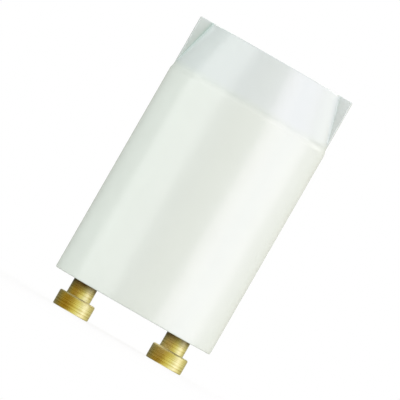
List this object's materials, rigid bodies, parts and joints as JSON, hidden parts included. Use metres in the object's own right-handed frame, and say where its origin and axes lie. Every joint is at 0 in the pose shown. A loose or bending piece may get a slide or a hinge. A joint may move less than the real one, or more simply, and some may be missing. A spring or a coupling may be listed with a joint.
{
  "type": "fluorescent starter",
  "caption": "Plug-in glow starter for a fluorescent lamp: white moulded can with a waisted gripping head and two headed brass contact pins.",
  "frame": {"origin": "middle of the plane of the two pin ends, on the can's axis", "axes": "+Z along the can's axis from the pins towards the gripping head, +X from the left pin to the right pin"},
  "size_m": [0.021, 0.021, 0.0382],
  "materials": {
    "white_moulding": "white moulded plastic with a soft sheen",
    "insulating_plate": "matt ivory moulded plate",
    "turned_brass": "turned brass with fine tool marks",
    "sheet_brass": "stamped sheet brass",
    "bulb_glass": "clear thin glass",
    "lead_wire": "copper-clad nickel-iron wire",
    "bimetal": "rolled bimetal strip",
    "electrode_metal": "rolled nickel strip",
    "capacitor_coating": "dipped resin coating",
    "tinned_wire": "tinned wire"
  },
  "bodies": {
    "root": {"housing": "white_moulding", "base_plate": "insulating_plate", "contact_pin_left": "turned_brass", "contact_pin_right": "turned_brass", "terminal_tag_left": "sheet_brass", "terminal_tag_right": "sheet_brass", "glow_bulb": "bulb_glass", "lead_in_wire_left": "lead_wire", "lead_in_wire_right": "lead_wire", "bimetal_strip": "bimetal", "fixed_electrode": "electrode_metal", "capacitor_body": "capacitor_coating", "capacitor_lead_left": "tinned_wire", "capacitor_lead_right": "tinned_wire"}
  },
  "joints": []
}
